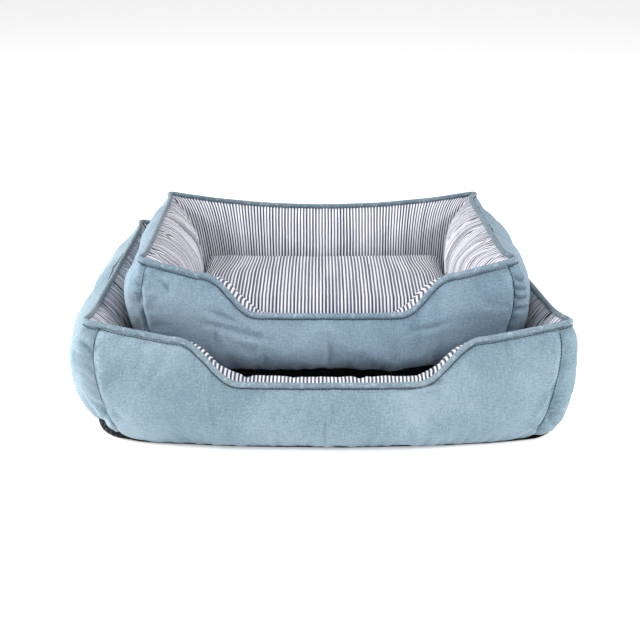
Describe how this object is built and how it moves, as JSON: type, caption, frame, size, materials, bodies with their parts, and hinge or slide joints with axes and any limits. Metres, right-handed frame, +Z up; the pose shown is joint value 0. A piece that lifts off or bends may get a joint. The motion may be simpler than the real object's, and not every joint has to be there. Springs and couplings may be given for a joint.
{
  "type": "nested rectangular bolster pet beds",
  "caption": "Two low rectangular bolster pet beds of one design, the smaller standing in the larger, each with a dipped entrance and a loose seat cushion.",
  "frame": {"origin": "middle of the pair's outline, on the surface it stands on", "axes": "+X along the long side, +Z up; the dipped entrances face -Y"},
  "size_m": [0.7544, 0.6684, 0.2598],
  "materials": {
    "denim": "light blue denim, matt, with a slubby woven texture",
    "ticking": "white cotton with narrow navy stripes",
    "base_cloth": "black non-slip cloth",
    "foam": "plain foam sheet",
    "fibre": "polyester fibre filling",
    "zip_cloth": "woven zip tape",
    "zip_teeth": "moulded coil teeth",
    "zip_metal": "satin metal"
  },
  "bodies": {
    "large_shell": {"large_base_fabric": "base_cloth", "large_base_pad": "foam", "large_well_floor": "ticking", "large_outer_front": "denim", "large_lining_front": "ticking", "large_filling_front": "fibre", "large_outer_right": "denim", "large_lining_right": "ticking", "large_filling_right": "fibre", "large_outer_back": "denim", "large_lining_back": "ticking", "large_filling_back": "fibre", "large_outer_left": "denim", "large_lining_left": "ticking", "large_filling_left": "fibre", "large_piping_front": "denim", "large_piping_rim": "denim"},
    "large_cushion": {"large_cushion_top": "ticking", "large_cushion_underside": "ticking", "large_cushion_filling": "fibre", "large_zip_tape": "zip_cloth", "large_zip_teeth": "zip_teeth"},
    "large_zip_slider": {"large_zip_slider": "zip_metal"},
    "large_zip_pull": {"large_zip_pull": "zip_metal"},
    "small_shell": {"small_base_fabric": "base_cloth", "small_base_pad": "foam", "small_well_floor": "ticking", "small_outer_front": "denim", "small_lining_front": "ticking", "small_filling_front": "fibre", "small_outer_right": "denim", "small_lining_right": "ticking", "small_filling_right": "fibre", "small_outer_back": "denim", "small_lining_back": "ticking", "small_filling_back": "fibre", "small_outer_left": "denim", "small_lining_left": "ticking", "small_filling_left": "fibre", "small_piping_front": "denim", "small_piping_rim": "denim"},
    "small_cushion": {"small_cushion_top": "ticking", "small_cushion_underside": "ticking", "small_cushion_filling": "fibre", "small_zip_tape": "zip_cloth", "small_zip_teeth": "zip_teeth"},
    "small_zip_slider": {"small_zip_slider": "zip_metal"},
    "small_zip_pull": {"small_zip_pull": "zip_metal"}
  },
  "joints": [
    {"name": "large_cushion_lift", "type": "slide", "parent": "large_shell", "child": "large_cushion", "axis": [0, 0, 1], "range_m": [0, 0.2]},
    {"name": "small_bed_lift", "type": "slide", "parent": "large_cushion", "child": "small_shell", "axis": [0, 0, 1], "range_m": [0, 0.18]},
    {"name": "small_cushion_lift", "type": "slide", "parent": "small_shell", "child": "small_cushion", "axis": [0, 0, 1], "range_m": [0, 0.2]},
    {"name": "large_zip_run", "type": "slide", "parent": "large_cushion", "child": "large_zip_slider", "axis": [1, 0, 0], "range_m": [0, 0.306]},
    {"name": "large_zip_pull_swing", "type": "hinge", "parent": "large_zip_slider", "child": "large_zip_pull", "pos_m": [-0.13609, 0.21963, 0.04], "axis": [0, 0, -1], "range_deg": [0, 165]},
    {"name": "small_zip_run", "type": "slide", "parent": "small_cushion", "child": "small_zip_slider", "axis": [1, 0, 0], "range_m": [0, 0.214]},
    {"name": "small_zip_pull_swing", "type": "hinge", "parent": "small_zip_slider", "child": "small_zip_pull", "pos_m": [-0.09021, 0.15713, 0.11], "axis": [0, 0, -1], "range_deg": [0, 165]}
  ]
}
